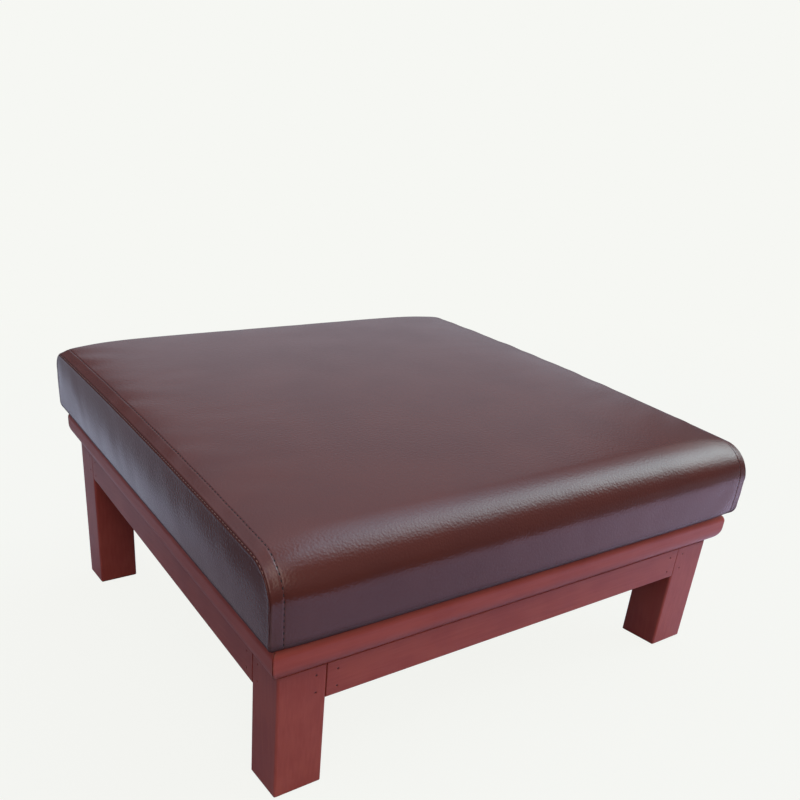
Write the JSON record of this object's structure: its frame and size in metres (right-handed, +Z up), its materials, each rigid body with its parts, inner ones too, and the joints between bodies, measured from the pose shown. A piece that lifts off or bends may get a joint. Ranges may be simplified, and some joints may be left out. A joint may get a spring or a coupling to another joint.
{
  "type": "padded prayer stool",
  "caption": "Low square kneeling stool: painted wood frame with moulded rim and square legs, seat sloping down to the front, and a sewn leather-covered foam cushion.",
  "frame": {"origin": "on the floor, under the middle of the stool's bounding box", "axes": "+Z up from the floor, -Y towards the front (the low end of the sloping seat), +X to the right seen from the front"},
  "size_m": [0.4998, 0.5046, 0.2688],
  "materials": {
    "painted_wood": "satin brick-red paint on solid wood",
    "bare_wood": "unfinished dowel",
    "plywood": "sanded plywood",
    "leather": "glossy fine-grained coated leather, dark brown",
    "foam": "open-cell polyurethane foam",
    "dust_cloth": "black non-woven cloth",
    "steel_fixings": "zinc-plated steel"
  },
  "bodies": {
    "root": {"leg_front_left": "painted_wood", "leg_front_right": "painted_wood", "leg_back_left": "painted_wood", "leg_back_right": "painted_wood", "apron_front": "painted_wood", "apron_back": "painted_wood", "apron_left": "painted_wood", "apron_right": "painted_wood", "rim_front": "painted_wood", "rim_back": "painted_wood", "rim_left": "painted_wood", "rim_right": "painted_wood", "corner_blocks_front_left": "painted_wood", "corner_blocks_front_right": "painted_wood", "corner_blocks_back_left": "painted_wood", "corner_blocks_back_right": "painted_wood", "mitre_dowels": "bare_wood", "joint_brads": "steel_fixings", "rim_screws": "steel_fixings", "board_screws": "steel_fixings", "seat_board": "plywood", "foam_core": "foam", "foam_crown": "foam", "cover_centre": "leather", "cover_side_left": "leather", "cover_side_right": "leather", "cover_staples": "steel_fixings", "dust_cloth": "dust_cloth"}
  },
  "joints": []
}
